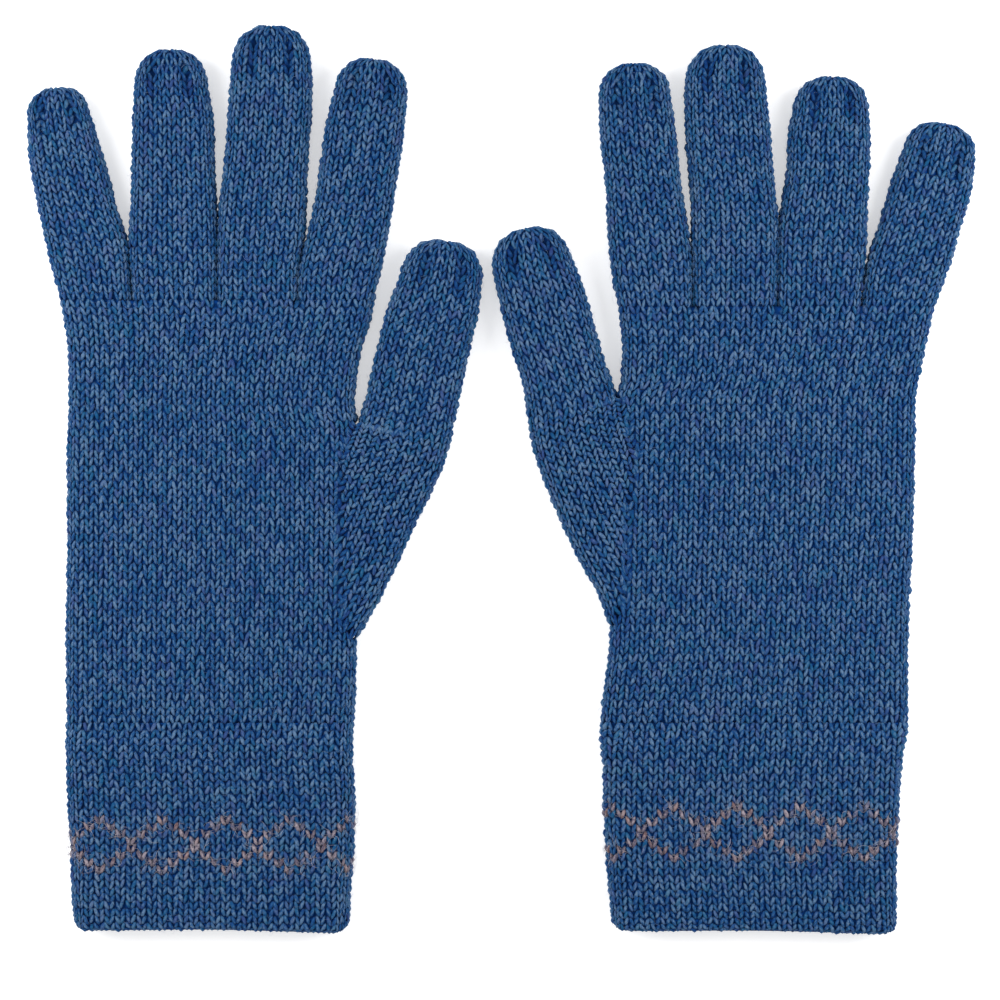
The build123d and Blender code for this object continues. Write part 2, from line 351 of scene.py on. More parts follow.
class Fabric:
    """A flattened tube, or a part of one, between a left and a right edge line. In the cuff
    the lower edge bows, tilts and has rounded corners.

    A place on it is (s, j): j counts rows of stitches from the lower end, and s is the
    distance round the tube from its fold, positive over the front. Round the fold the
    section is half an ellipse as tall as the fabric is thick, and flat in between."""

    def __init__(self, left, right, half, rows, fold="both", dips=(), grooves=0.0,
                 crease=None, face_pitch=None):
        self.rows = rows
        self.left, self.right = np.asarray(left, float), np.asarray(right, float)
        self.j = np.linspace(0, rows, len(self.left))
        self.half = np.broadcast_to(np.asarray(half, float), len(self.left)).copy()
        self.mid = np.full(len(self.left), float(self.half.max()))
        self.fold, self.dips, self.grooves = fold, dips, grooves
        self.crease, self.face_pitch = crease, face_pitch
        self.corner, self.tilt = 0.0, 0.0
        self.turn = -1 if fold == "right" else 1

    def along(self, values, j):
        """Values at row j, read off straight between stations and straight on past the ends."""
        step = self.rows / (len(self.j) - 1)
        k = np.clip((np.asarray(j) / step).astype(int), 0, len(self.j) - 2)
        f = j / step - k
        if values.ndim == 2:
            f = f[..., None]
        return values[k] + (values[k + 1] - values[k]) * f

    def width(self, j):
        across = self.along(self.right, j) - self.along(self.left, j)
        return np.hypot(across[..., 0], across[..., 1])

    def arc(self, j):
        """Distance from the fold to the far end of the fabric's front at row j."""
        half = self.along(self.half, j)
        ends = 2 if self.fold == "both" else 1
        return self.width(j) + ends * (QUARTER - FOLD) * half

    def spaced(self, share, number, j):
        """Distances from the fold at shares of the reach, either even or with one stitch
        width over the flat face and what is left over shared out round the folds."""
        reach = float(self.arc(np.array([j]))[0])
        if self.face_pitch is None:
            return share * reach
        bend = float(self.along(self.half, np.array([j]))[0]) * QUARTER
        flat = (reach - 2 * bend) / self.face_pitch
        side = (number / 2 - flat) / 2
        return np.sign(share) * np.interp(np.abs(share) * number / 2,
                                          [0, side, side + flat, number / 2],
                                          [0, bend, reach - bend, reach])

    def point(self, s, j):
        """Places (s, j) in millimetres."""
        left, right = self.along(self.left, j), self.along(self.right, j)
        half, mid = self.along(self.half, j), self.along(self.mid, j)
        across = right - left
        width = np.hypot(across[..., 0], across[..., 1])
        unit = across / width[..., None]
        away, quarter = np.abs(s), half * QUARTER
        phase = np.minimum(away / quarter, 1) * math.pi / 2
        t = half * FOLD * (1 - np.cos(phase)) + np.maximum(away - quarter, 0)
        lift = half * np.sin(phase)
        if self.fold == "both":
            back = width + 2 * (quarter - half * FOLD) - away
            phase = np.clip(back / quarter, -0.3, 1) * math.pi / 2
            t = np.where(back < quarter, width - half * FOLD * (1 - np.cos(phase)), t)
            lift = np.where(back < quarter, half * np.sin(phase), lift)
        if self.fold == "right":
            plan = right - unit * t[..., None]
        else:
            plan = left + unit * t[..., None]
        x, y = plan[..., 0], plan[..., 1]
        if self.corner:
            near = np.clip(1 - np.minimum(t, width - t) / CORNER_REACH, 0, 1)
            bow = (self.corner * (1 - np.sqrt(1 - near * near)) + self.tilt * t / width
                   + EDGE_BOW * np.sin(math.pi * t / width) ** 2)
            y = y + bow * (1 - ease(j / EDGE_ROWS))
        for cx, cy, core, spread in self.dips:
            near = np.clip((np.hypot(x - cx, y - cy) - core) / spread, 0, 1)
            lift = lift * np.sqrt(1 - (1 - near) ** 2)
        lift = lift - self.grooves * self.pinched(s, j)
        if self.crease is not None:
            lift = lift - self.crease[1] * self.drawn(x, y)
        waves = (np.sin(x * 0.31 + y * 0.17) + np.sin(x * 0.13 - y * 0.27 + 1.0)
                 + np.sin(y * 0.61 + x * 0.07)) * 0.05
        side = np.where(s >= 0, 1.0, -1.0)
        return np.stack([x, y, mid + side * (lift + np.minimum(waves, 0) * (lift / half))], -1)

    def pinched(self, s, j):
        """Nearness to the two grooves below a finger's end, from 0 to 1."""
        if not self.grooves:
            return np.zeros(np.broadcast(s, j).shape)
        share = np.abs(s) / self.arc(j)
        fade = ease((j - self.rows + 9.0) / 3.5) * ease((self.rows - 1.2 - j) / 2.0)
        return fade * sum(np.exp(-((share - place) / GROOVE_SPREAD) ** 2)
                          for place in GROOVE_PLACES)

    def drawn(self, x, y):
        """Nearness to the crease line in the plan, from 0 to 1."""
        line, _, spread = self.crease
        inside = ease((y - line[0, 1] + 2) / 4) * ease((line[-1, 1] + 2 - y) / 4)
        apart = np.abs(x - np.interp(y, line[:, 1], line[:, 0]))
        return inside * np.exp(-(apart / spread) ** 2)

    def hollow(self, s, j):
        """How deep (s, j) lies in a groove or in the crease, from 0 to 1."""
        deep = self.pinched(s, j)
        if self.crease is not None:
            place = self.point(s, j)
            deep = np.maximum(deep, self.drawn(place[..., 0], place[..., 1]))
        return deep

    def outward(self, s, j):
        """Unit vectors square to the fabric, from the slopes along s and j."""
        ds = self.point(s + 0.2, j) - self.point(s - 0.2, j)
        dj = self.point(s, j + 0.12) - self.point(s, j - 0.12)
        n = np.cross(ds, dj) * self.turn
        return n / np.maximum(np.linalg.norm(n, axis=-1, keepdims=True), 1e-9)


def evened(t, count, *lines):
    """The given lines, each known at the distances t, at count even distances."""
    even = np.linspace(0, t[-1], count)
    return [np.interp(even, t, line) if line.ndim == 1
            else np.stack([np.interp(even, t, c) for c in line.T], 1) for line in lines]


def finger_fabric(plan, half=HAND_HALF):
    """A finger from its root to its rounded end. Its edges are carried to the shoulder, and
    from there the width and the thickness close as powers of the cosine round the cap."""
    count = 40
    left, right = flowing(plan["left"], count), flowing(plan["right"], count)
    body = sum(np.hypot(*np.diff(edge, axis=0).T).sum() for edge in (left, right)) / 2
    across = right[-1] - left[-1]
    ahead = np.array([-across[1], across[0]]) / np.hypot(*across)
    cap = max(8, round(count * (plan["cap"] * 1.45) / body))
    angle = np.linspace(0, CAP_END, cap + 1)[1:]
    middle = (left[-1] + right[-1]) / 2
    centres = middle + ahead * (plan["cap"] * np.sin(angle))[:, None]
    spread = np.cos(angle)[:, None] ** 0.74 * across / 2
    left, right = np.vstack([left, centres - spread]), np.vstack([right, centres + spread])
    thick = np.concatenate([np.full(count, half), half * np.cos(angle) ** 0.45])
    thick = np.minimum(thick, np.hypot(*(right - left).T) * 0.47)
    # stations are spread evenly along the surface
    step = np.hypot(np.hypot(*np.diff((left + right) / 2, axis=0).T), np.diff(thick))
    t = np.concatenate([[0], np.cumsum(step)])
    left, right, thick = evened(t, 90, left, right, thick)
    made = Fabric(left, right, thick, round(t[-1] / FINGER_ROW), grooves=GROOVES)
    made.mid[:] = half
    return made


# ------------------------------------------------------------------------ yarn pieces

SIDES, RINGS = 6, 3
LEG_FOOT, LEG_HEAD = (0.05, -0.22), (0.45, 1.24)
LEG_RADIUS, LEG_RISE, LEG_SINK = 0.195, 0.18, 0.11
ROW_SHARE = 0.76       # height of a row against the width of a stitch


def yarn_leg():
    """One leg of a stitch as a closed spindle: rings of points carried along a line that
    climbs outwards over a little more than a row and dips at both ends. x is in stitches, y
    in rows and z in stitches."""
    t = np.concatenate([[0], np.linspace(0.18, 0.82, RINGS), [1]])
    line = np.stack([LEG_FOOT[0] + (LEG_HEAD[0] - LEG_FOOT[0]) * t,
                     LEG_FOOT[1] + (LEG_HEAD[1] - LEG_FOOT[1]) * t,
                     LEG_RISE * np.sin(math.pi * t) - LEG_SINK], 1)
    size = np.array([0.0, 0.84, 1.0, 0.84, 0.0]) * LEG_RADIUS
    slant = np.array([LEG_HEAD[0] - LEG_FOOT[0], (LEG_HEAD[1] - LEG_FOOT[1]) * ROW_SHARE])
    square = np.array([slant[1], -slant[0]]) / np.hypot(*slant)
    turn = 2 * math.pi * np.arange(SIDES) / SIDES - math.pi / 2
    ring = np.stack([np.cos(turn) * square[0], np.cos(turn) * square[1] / ROW_SHARE,
                     np.sin(turn)], 1)
    verts = [line[:1]] + [line[k] + ring * size[k] for k in range(1, RINGS + 1)] + [line[-1:]]
    uv = [[[0.0, 0.5]]] + [np.stack([np.full(SIDES, t[k]), np.arange(SIDES) / SIDES], 1)
                           for k in range(1, RINGS + 1)] + [[[1.0, 0.5]]]
    # painted highlight and painted shade: the top of each leg is painted paler, and its sides, underside and ends
    # darker, as if lit from above
    rounded = np.clip(np.sin(turn), 0, 1)
    crown_highlight = np.concatenate([[0.1]] + [rounded * math.sin(math.pi * t[k]) ** 0.5
                                      for k in range(1, RINGS + 1)] + [[0.1]])
    return np.vstack(verts), spindle_faces(RINGS, SIDES), np.vstack(uv), crown_highlight


def spindle_faces(rings, sides):
    """Faces of a closed spindle as quads; a triangle repeats its last corner."""
    k = np.arange(sides)
    after = (k + 1) % sides
    start = np.stack([np.zeros(sides, int), 1 + after, 1 + k, 1 + k], 1)
    bands = [np.stack([1 + r * sides + k, 1 + r * sides + after,
                       1 + (r + 1) * sides + after, 1 + (r + 1) * sides + k], 1)
             for r in range(rings - 1)]
    last = 1 + rings * sides
    base = 1 + (rings - 1) * sides
    end = np.stack([np.full(sides, last), base + k, base + after, base + after], 1)
    return np.vstack([start] + bands + [end])


def copies(faces, size, n):
    """The faces of a template with size vertices, for n templates in a row."""
    return (faces[None] + (np.arange(n) * size)[:, None, None]).reshape(-1, 4)


class Bundle:
    """Collects vertices, faces and yarn values of one piece until its mesh is made."""

    def __init__(self):
        self.verts, self.faces, self.uv, self.mat = [], [], [], []
        self.shade, self.tone, self.crown_highlight = [], [], []
        self.count = 0

    # the last value is the painted highlight of each point, a middling 0.5 by default
    def add(self, verts, faces, uv, shade, tone, mat, crown_highlight=0.5):
        """verts (n, 3) in mm, faces (m, 4) with a repeated last corner for a triangle."""
        self.verts.append(verts)
        self.faces.append(faces + self.count)
        self.uv.append(uv)
        self.shade.append(np.broadcast_to(shade, len(verts)))
        self.tone.append(np.broadcast_to(tone, len(verts)))
        self.crown_highlight.append(np.broadcast_to(crown_highlight, len(verts)))
        self.mat.append(np.full(len(faces), mat))
        self.count += len(verts)

    def object(self, name, glove):
        """The collected piece as one mesh object in metres, in the glove's own place."""
        verts = np.vstack(self.verts) * MM
        verts[:, 2] = np.maximum(verts[:, 2], 0)  # what lies underneath is pressed flat
        faces = np.vstack(self.faces)
        if glove["mirror"] < 0:
            verts = verts * [-1, 1, 1]
            faces = faces[:, ::-1]
        same = (faces[:, 0] == faces[:, 1]) | (faces[:, 2] == faces[:, 3])
        faces = np.where((faces[:, 0] == faces[:, 1])[:, None], np.roll(faces, -1, 1), faces)
        size = np.where(same, 3, 4)
        flat = faces[np.arange(4) < size[:, None]]
        starts = np.concatenate([[0], np.cumsum(size)[:-1]])
        mesh = bpy.data.meshes.new(name)
        mesh.vertices.add(len(verts))
        mesh.vertices.foreach_set("co", verts.astype(np.float32).ravel())
        mesh.loops.add(len(flat))
        mesh.loops.foreach_set("vertex_index", flat.astype(np.int32))
        mesh.polygons.add(len(faces))
        mesh.polygons.foreach_set("loop_start", starts.astype(np.int32))
        mesh.polygons.foreach_set("material_index", np.concatenate(self.mat).astype(np.int32))
        mesh.update(calc_edges=True)
        mesh.polygons.foreach_set("use_smooth", np.ones(len(faces), bool))
        uv = mesh.uv_layers.new(name="Yarn")
        uv.data.foreach_set("uv", np.vstack(self.uv)[flat].astype(np.float32).ravel())
        # the yarn values: each stitch's depth of dye less painted shade in the hollows, its tone, and the painted
        # highlight on the top of the yarn
        for label, values in (("shade", self.shade), ("tone", self.tone), ("crown_highlight", self.crown_highlight)):
            attribute = mesh.attributes.new(label, "FLOAT", "POINT")
            attribute.data.foreach_set("value", np.concatenate(values).astype(np.float32))
        for material in dyes():
            mesh.materials.append(material)
        mesh.validate()
        made = bpy.data.objects.new(name, mesh)
        bpy.context.scene.collection.objects.link(made)
        return made


def stitch_places(fabric, first, last, number=None, pitch=None, counts=None, keep=None):
    """Centres, widths and rows of the stitches in rows first to last. A closed tube has a
    number, or counts for each row, of stitches round it. An open piece has one pitch from
    its fold, and its last stitch may lie partly beyond its edge."""
    s, j, wide, index = [], [], [], []
    for row in range(first, last):
        if pitch is None:
            each = number if counts is None else counts[row]
            share = -1 + (np.arange(each) + 0.5) * 2 / each
            places = fabric.spaced(share, each, row + 0.5)
            outer = np.minimum(np.abs(share) + 1 / each, 1)
            step = np.abs(fabric.spaced(outer, each, row + 0.5)
                          - fabric.spaced(np.abs(share) - 1 / each, each, row + 0.5))
            count = np.floor(np.abs(share) * each / 2).astype(int)
        else:
            reach = float(fabric.arc(np.array([row + 0.5]))[0])
            side = int(math.floor((reach + 0.4 * pitch) / pitch + 0.5))
            places = (np.arange(-side, side) + 0.5) * pitch
            step = np.full(len(places), pitch)
            count = np.floor(np.abs(places) / pitch).astype(int)
        s.append(places)
        j.append(np.full(len(places), float(row)))
        wide.append(step)
        index.append(count * 2 + (places < 0))
    s, j, wide, index = map(np.concatenate, (s, j, wide, index))
    if keep is not None:
        chosen = keep(s, j, index)
        s, j, wide, index = s[chosen], j[chosen], wide[chosen], index[chosen]
    return s, j, wide, index


def add_stitches(bundle, fabric, places, rng, mat, thick=1.0, inward=False):
    """Both legs of every stitch. Each template point is carried to its own place (s, j) on
    the fabric and raised square to it, so the stitches follow every curve."""
    s, j, wide, _ = places
    if not len(s):
        return
    shape, faces, uv, crown_highlight = yarn_leg()
    count = len(shape)
    for side in (1, -1):
        n = len(s)
        loose = rng.normal(0, 1, (n, 6))
        dx = side * shape[None, :, 0] * (1 + 0.08 * loose[:, :1]) + 0.035 * loose[:, 1:2]
        dy = shape[None, :, 1] + 0.08 * loose[:, 2:3]
        girth = thick * (1 + 0.12 * loose[:, 3:4])
        dz = (shape[None, :, 2] * girth + 0.04 * loose[:, 4:5]) * wide[:, None]
        at_j = np.clip(j[:, None] + dy, -0.6, fabric.rows + 0.1)
        at_s = s[:, None] + fabric.turn * dx * wide[:, None]
        if fabric.fold == "both":
            at_s = at_s * fabric.arc(at_j) / fabric.arc(j + 0.5)[:, None]
        base = fabric.point(at_s, at_j)
        out = fabric.outward(at_s, at_j)
        rise = (dz - TUCK)[..., None] * (-1 if inward else 1)
        verts = (base + out * rise).reshape(-1, 3)
        legs = faces if (side == 1) != inward else faces[:, ::-1]
        coords = (uv[None] + rng.uniform(0, 40, (n, 1, 2))).reshape(-1, 2)
        # each stitch's random depth of dye, less painted shade where it lies in a groove or the crease
        shade = np.repeat(rng.random(n) - STITCH_SHADE * fabric.hollow(s, j + 0.5), count)
        tone = np.repeat(rng.random(n), count)
        bundle.add(verts, copies(legs, count, n), coords, shade, tone, mat, np.tile(crown_highlight, n))


def add_web(bundle, fabric, first, last, s_range, mat, depth=BACKING, columns=48, limit=None):
    """The closed web behind the stitches: the fabric's own surface at two depths, joined
    round its four rims. s_range gives the shares of the reach between which it runs, and
    limit, where given, the farthest share at each row."""
    rows = max(4, int((last - first) * 1.5) + 1)
    j = np.linspace(first, last, rows)[:, None] + np.zeros((1, columns))
    reach = fabric.arc(j[:, 0])[:, None] * 0.999
    share = np.linspace(s_range[0], s_range[1], columns)[None] + np.zeros((rows, 1))
    if limit is not None:
        share = share * limit(j[:, 0])[:, None]
    s = reach * share * fabric.turn
    base, out = fabric.point(s, j), fabric.outward(s, j)
    room = np.minimum(1.0, fabric.along(fabric.half, j[:, 0]) / 2.6)[:, None, None]
    top = (base - out * depth[0] * room).reshape(-1, 3)
    low = (base - out * depth[1] * room).reshape(-1, 3)
    grid = np.arange(rows * columns).reshape(rows, columns)
    quad = np.stack([grid[:-1, :-1], grid[:-1, 1:], grid[1:, 1:], grid[1:, :-1]], -1)
    quad = quad.reshape(-1, 4)
    n = rows * columns
    walls = []
    for a, b in ((grid[0, :-1], grid[0, 1:]), (grid[1:, 0], grid[:-1, 0]),
                 (grid[:-1, -1], grid[1:, -1]), (grid[-1, 1:], grid[-1, :-1])):
        walls.append(np.stack([a, a + n, b + n, b], 1))
    faces = np.vstack([quad, quad[:, ::-1] + n] + walls)
    flat = np.stack([s / WEB_STITCH, j], -1).reshape(-1, 2)
    # painted shade: the web is darkened where it lies in a groove or the crease
    shade = np.tile((1 - WEB_SHADE * fabric.hollow(s, j)).ravel(), 2)
    bundle.add(np.vstack([top, low]), faces, np.vstack([flat, flat]), shade, 0.5, mat)


def tube(path, side, up, size, sides):
    """Rings of the given sizes round the paths: path + size (side cos a + up sin a)."""
    turn = 2 * math.pi * np.arange(sides) / sides
    ring = (side[:, None] * np.cos(turn)[None, :, None]
            + up[:, None] * np.sin(turn)[None, :, None])
    verts = path[:, :, None] + ring[:, None] * size[None, :, None, None]
    return verts.reshape(len(path), -1, 3)


def add_fibres(bundle, fabric, places, share, length, rng, mat, girth=0.03):
    """Loose fibres as closed three-sided tubes through four points, which rise from the yarn
    and curl over it: the height is a half sine and the sideways drift a slow turn."""
    s, j, wide, _ = places
    if not len(s) or share <= 0:
        return
    n = max(1, int(len(s) * share))
    pick = rng.integers(0, len(s), n)
    s0 = s[pick] + rng.uniform(-0.5, 0.5, n) * wide[pick]
    j0 = np.clip(j[pick] + rng.uniform(0, 1, n), 0.2, fabric.rows - 0.2)
    base, out = fabric.point(s0, j0), fabric.outward(s0, j0)
    free = rng.normal(0, 1, (n, 3))
    flat = free - (free * out).sum(1, keepdims=True) * out
    flat /= np.linalg.norm(flat, axis=1, keepdims=True)
    side = np.cross(out, flat)
    size = length * rng.uniform(0.4, 1.3, n)[:, None]
    rise = rng.uniform(0.10, 0.45, n)[:, None]
    curl = rng.uniform(-0.5, 0.5, n)[:, None]
    t = np.linspace(0, 1, 5)
    path = np.stack([base - out * 0.45 + flat * size * k + out * size * rise * math.sin(2.3 * k)
                     + side * size * curl * math.sin(3.0 * k) for k in t], 1)
    taper = np.array([1.0, 1.0, 0.9, 0.75, 0.4]) * girth
    verts = tube(path, side, out, taper, 3)
    k = np.arange(3)
    after = (k + 1) % 3
    bands = [np.stack([r + k, r + after, r + 3 + after, r + 3 + k], 1) for r in (0, 3, 6, 9)]
    ends = [np.array([[0, 2, 1, 1]]), np.array([[12, 13, 14, 14]])]
    faces = np.vstack(bands + ends)[:, ::-1]
    faces = np.where((faces[:, 0] == faces[:, 1])[:, None], np.roll(faces, -1, 1), faces)
    count = verts.shape[1]
    bundle.add(verts.reshape(-1, 3), copies(faces, count, n), np.zeros((n * count, 2)),
               np.repeat(rng.random(n), count), np.repeat(rng.random(n), count), mat)


def add_yarn_ends(bundle, starts, ends, bulge, girth, rng, mat):
    """Short closed lengths of yarn, each a spindle from start to end that bows by bulge."""
    starts, ends, bulge = (np.asarray(a, float) for a in (starts, ends, bulge))
    along = ends - starts
    length = np.linalg.norm(along, axis=1, keepdims=True)
    unit = along / length
    up = bulge - (bulge * unit).sum(1, keepdims=True) * unit
    up = up / np.maximum(np.linalg.norm(up, axis=1, keepdims=True), 1e-6)
    side = np.cross(unit, up)
    rings = 5
    t = np.linspace(0.1, 0.9, rings)
    path = (starts[:, None] + along[:, None] * t[None, :, None]
            + bulge[:, None] * np.sin(math.pi * t)[None, :, None])
    size = girth * np.sin(math.pi * (0.12 + 0.76 * t)) ** 0.4
    verts = np.concatenate([starts[:, None], tube(path, side, up, size, SIDES),
                            ends[:, None]], 1)
    n, count = verts.shape[:2]
    faces = spindle_faces(rings, SIDES)[:, ::-1]
    grid = np.stack(np.meshgrid(t, np.arange(SIDES) / SIDES, indexing="ij"), -1)
    uv = np.concatenate([[[0, 0.5]], grid.reshape(-1, 2), [[1, 0.5]]])
    coords = (uv[None] + rng.uniform(0, 40, (n, 1, 2))).reshape(-1, 2)
    bundle.add(verts.reshape(-1, 3), copies(faces, count, n), coords,
               np.repeat(rng.random(n), count), np.repeat(rng.random(n), count), mat)


# -------------------------------------------------------------------------- materials

def new_material(name, **values):
    """A material with its output and principled shader joined, and the shader's values."""
    material = bpy.data.materials.new(name)
    material.use_nodes = True
    tree = material.node_tree
    tree.nodes.clear()
    out = tree.nodes.new("ShaderNodeOutputMaterial")
    shader = tree.nodes.new("ShaderNodeBsdfPrincipled")
    tree.links.new(shader.outputs["BSDF"], out.inputs["Surface"])
    for key, value in values.items():
        shader.inputs[key.replace("_", " ")].default_value = value
    return material, tree, shader


def node(tree, kind, inputs=None, output=0, **settings):
    """One output of a new node with its settings, its constant inputs and its links."""
    made = tree.nodes.new("ShaderNode" + kind)
    for key, value in settings.items():
        setattr(made, key, value)
    for key, value in (inputs or {}).items():
        if isinstance(value, bpy.types.NodeSocket):
            tree.links.new(value, made.inputs[key])
        else:
            made.inputs[key].default_value = value
    return made.outputs[output]


def attribute(tree, name):
    return node(tree, "Attribute", output="Fac", attribute_name=name)


def noise(tree, place, scale, detail=2.0, roughness=0.5, **settings):
    return node(tree, "TexNoise", {"Vector": place, "Scale": scale, "Detail": detail,
                                   "Roughness": roughness}, "Fac", **settings)


def wave(tree, place, scale, distortion, direction="X", spread=1.0):
    return node(tree, "TexWave", {"Vector": place, "Scale": scale, "Distortion": distortion,
                                  "Detail": 1.0, "Detail Scale": spread}, "Fac",
                bands_direction=direction)


def arithmetic(tree, operation, a, b):
    return node(tree, "Math", {0: a, 1: b}, operation=operation)


def weighted(tree, *parts):
    """The sum of the products of each pair."""
    total, *others = [arithmetic(tree, "MULTIPLY", a, b) for a, b in parts]
    for part in others:
        total = arithmetic(tree, "ADD", total, part)
    return total


def mapped(tree, value, low, high, start=0.0, stop=1.0):
    """low where the value is start, high where it is stop, and straight between."""
    return node(tree, "MapRange", {"Value": value, "From Min": start, "From Max": stop,
                                   "To Min": low, "To Max": high})


def mixed(tree, factor, first, second, **settings):
    return node(tree, "MixRGB", {"Fac": factor, "Color1": first, "Color2": second}, **settings)


def ramp(tree, factor, stops):
    """A colour ramp with linear colours at the given places."""
    colour = node(tree, "ValToRGB", {"Fac": factor}, "Color")
    elements = colour.node.color_ramp.elements
    while len(elements) < len(stops):
        elements.new(0.5)
    for element, (place, value) in zip(elements, stops):
        element.position = place
        element.color = (*value, 1.0)
    return colour


def surface(tree, shader, colour, rough, height, strength, distance):
    """Gives the shader its colour, its roughness and its bumps."""
    bump = node(tree, "Bump", {"Height": height, "Strength": strength, "Distance": distance})
    for key, socket in (("Base Color", colour), ("Roughness", rough), ("Normal", bump)):
        tree.links.new(socket, shader.inputs[key])


def yarn_material(name, deep, main, light, tint_a, tint_b, sheen, fuzz=0.0, patchy=0.45):
    """Spun wool: pale and dark fibres run along the yarn as stretched noise, every leg has its own depth of dye,
    darkened by painted shade where it lies in a groove or the crease, the top of each leg is lightened by a painted
    highlight and its sides and ends are darkened by painted shade, broad patches lean towards two other hues, and
    twisted plies and fibres raise the surface."""
    glow = (*[min(1, c * 1.5 + 0.3) for c in light], 1)
    material, tree, shader = new_material(name, Sheen_Weight=sheen, Sheen_Roughness=0.45,
                                          Sheen_Tint=glow, Specular_IOR_Level=0.12)
    uv = node(tree, "UVMap", uv_map="Yarn")
    place = node(tree, "TexCoord", output="Object")
    stretched = node(tree, "Mapping", {"Vector": uv, "Scale": (2.1, 3.2, 1.0),
                                       "Rotation": (0, 0, 0.35)})
    streak = noise(tree, stretched, 1.6, 4.0, 0.65, noise_dimensions="2D")
    fibre = noise(tree, place, 2600.0)
    broad = noise(tree, place, 95.0, 3.0, 0.6)
    patch = noise(tree, place, 300.0)
    # colour level: the painted highlight on the legs' tops with painted shade on their sides and ends, the pale and
    # dark fibres, each leg's depth of dye less painted shade in the hollows, broad patches and single fibres
    depth = weighted(tree, (attribute(tree, "crown_highlight"), 0.30), (streak, 0.95),
                     (attribute(tree, "shade"), 0.24), (broad, 0.18), (fibre, 0.16))
    depth = arithmetic(tree, "SUBTRACT", depth, 0.43)
    colour = ramp(tree, depth, [(0.22, deep), (0.48, main), (0.74, light)])
    lean = weighted(tree, (attribute(tree, "tone"), 0.5), (patch, 0.7))
    colour = mixed(tree, mapped(tree, lean, 0.0, 0.55, 0.72, 0.95), colour, (*tint_a, 1))
    colour = mixed(tree, mapped(tree, lean, 0.0, patchy, 0.50, 0.30), colour, (*tint_b, 1))
    twisted = node(tree, "Mapping", {"Vector": uv, "Rotation": (0, 0, 0.9)})
    ply = wave(tree, twisted, 1.1, 1.2)
    raised = weighted(tree, (ply, 0.5), (streak, 0.9), (fibre, 0.35 + fuzz))
    surface(tree, shader, colour, mapped(tree, streak, 0.78, 0.98), raised, 0.75, 0.00022)
    return material


def web_material(name, colour):
    """The inside of the knitting, shaded by the stitches in front: rows of purl bumps across each wale as two crossed
    waves, in a deep blue, darkened by painted shade in the troughs between the bumps and in the grooves and the
    crease."""
    material, tree, shader = new_material(name, Specular_IOR_Level=0.1)
    uv = node(tree, "UVMap", uv_map="Yarn")
    rows = wave(tree, uv, 0.318, 1.5, "Y", 3.0)
    wales = wave(tree, uv, 0.318, 0.8)
    fibre = noise(tree, node(tree, "TexCoord", output="Object"), 1500.0, 3.0)
    height = weighted(tree, (rows, wales), (fibre, 0.3))
    # painted shade: the troughs between the purl bumps are painted at half the colour
    tint = ramp(tree, height, [(0.2, tuple(c * 0.5 for c in colour)), (0.9, colour)])
    # painted shade in the grooves and the crease, carried by the shade value
    shade = node(tree, "Attribute", output="Color", attribute_name="shade")
    tint = mixed(tree, 1.0, tint, shade, blend_type="MULTIPLY")
    surface(tree, shader, tint, mapped(tree, fibre, 0.85, 1.0), height, 0.8, 0.0006)
    return material


def fibre_material(name, dark, pale):
    """Single wool fibres, from dyed to nearly undyed, each with its own depth of dye."""
    material, tree, shader = new_material(name, Roughness=0.6, Sheen_Weight=0.3)
    place = node(tree, "TexCoord", output="Object")
    level = weighted(tree, (attribute(tree, "shade"), 0.8), (noise(tree, place, 700.0), 0.2))
    tree.links.new(ramp(tree, level, [(0.1, dark), (0.95, pale)]), shader.inputs["Base Color"])
    return material


# ------------------------------------------------------------------- the add-on's parts

def colour_property(name, description, default):
    return bpy.props.FloatVectorProperty(name=name, description=description, default=default,
                                         subtype="COLOR", size=3, min=0.0, max=1.0)


def length_property(name, description, default):
    return bpy.props.FloatProperty(name=name, description=description, default=default,
                                   unit="LENGTH", subtype="DISTANCE", min=0.0, precision=5)


class GloveSettings(bpy.types.PropertyGroup):
    """Sizes and colours of the pair."""
    stitch_width: length_property("Stitch width", "Distance from one wale to the next", 0.00286)
    cuff_row: length_property("Cuff row height", "Height of one row in the cuff", 0.00203)
    hand_row: length_property("Hand row height", "Height of one row in the hand", 0.00211)
    yarn_girth: bpy.props.FloatProperty(name="Yarn thickness", default=1.0, min=0.5, max=1.5,
                                        description="Thickness of the yarn against the usual one")
    fibre_length: length_property("Fibre length", "Usual length of a loose fibre", 0.0024)
    fibre_share: bpy.props.FloatProperty(name="Loose fibres", default=0.35, min=0.0, max=4.0,
                                         description="Loose fibres for each stitch")
    # the deep and pale ends of each yarn's colours are reached through its darkest and palest fibres, and also through
    # painted shade and the painted highlight
    deep_blue: colour_property("Deep blue", "Darkest fibres of the main yarn",
                               (0.0005, 0.025, 0.135))
    main_blue: colour_property("Main blue", "Usual colour of the main yarn",
                               (0.0085, 0.065, 0.188))
    pale_blue: colour_property("Pale blue", "Palest fibres of the main yarn",
                               (0.096, 0.168, 0.276))
    violet: colour_property("Violet", "Warm patches in the heather", (0.038, 0.056, 0.185))
    teal: colour_property("Teal", "Cool patches in the heather", (0.004, 0.090, 0.185))
    deep_taupe: colour_property("Deep taupe", "Darkest fibres of the contrast yarn",
                                (0.018, 0.030, 0.085))
    main_taupe: colour_property("Taupe", "Usual colour of the contrast yarn",
                                (0.112, 0.094, 0.130))
    pale_taupe: colour_property("Pale taupe", "Palest fibres of the contrast yarn",
                                (0.310, 0.265, 0.300))


WOOL, WEB, FIBRES, TAUPE, TAUPE_FIBRES, ENDS = range(6)
DYES = ("Heathered blue wool", "Inside of the knitting", "Blue fibres",
        "Taupe contrast wool", "Taupe fibres", "Blue yarn ends")
WEB_BLUE, PALE_FIBRE = (0.001, 0.047, 0.230), (0.56, 0.52, 0.55)
RUST, DEEP_BLUE = (0.20, 0.085, 0.040), (0.020, 0.075, 0.190)  # patches in the taupe


def settings():
    return bpy.context.scene.knitted_gloves


